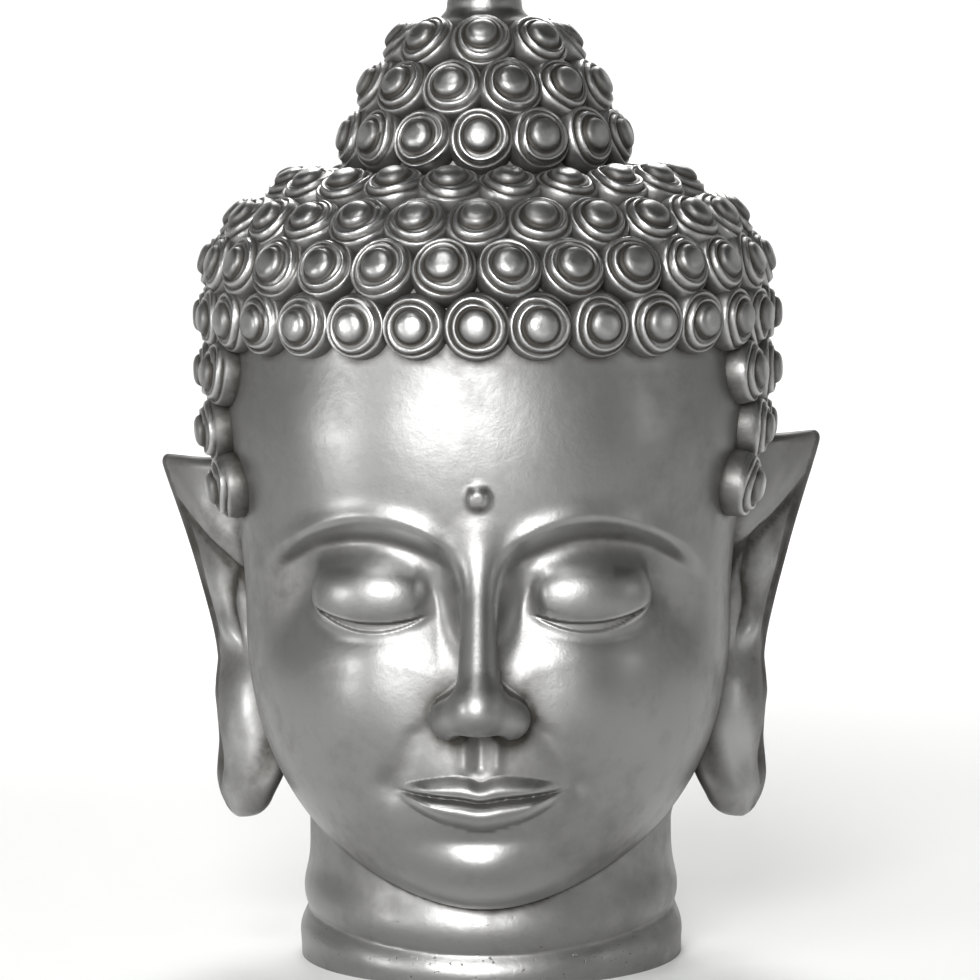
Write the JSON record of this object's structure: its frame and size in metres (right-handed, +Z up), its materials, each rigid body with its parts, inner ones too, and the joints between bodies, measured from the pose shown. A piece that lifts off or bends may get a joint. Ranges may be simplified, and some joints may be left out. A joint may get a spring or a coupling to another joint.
{
  "type": "buddha head sculpture",
  "caption": "Silver buddha head with snail-curl hair, a topknot, lowered lids and long ear lobes, cast hollow and cut flat below the neck to stand by itself.",
  "frame": {"origin": "middle of the flat underside of the neck", "axes": "+Z up through the topknot, -Y the way the face looks, +X towards the head's own left ear"},
  "size_m": [0.4098, 0.4037, 0.6],
  "materials": {
    "silver": "satin antiqued silver, darker in the recesses"
  },
  "bodies": {
    "root": {"head": "silver"}
  },
  "joints": []
}
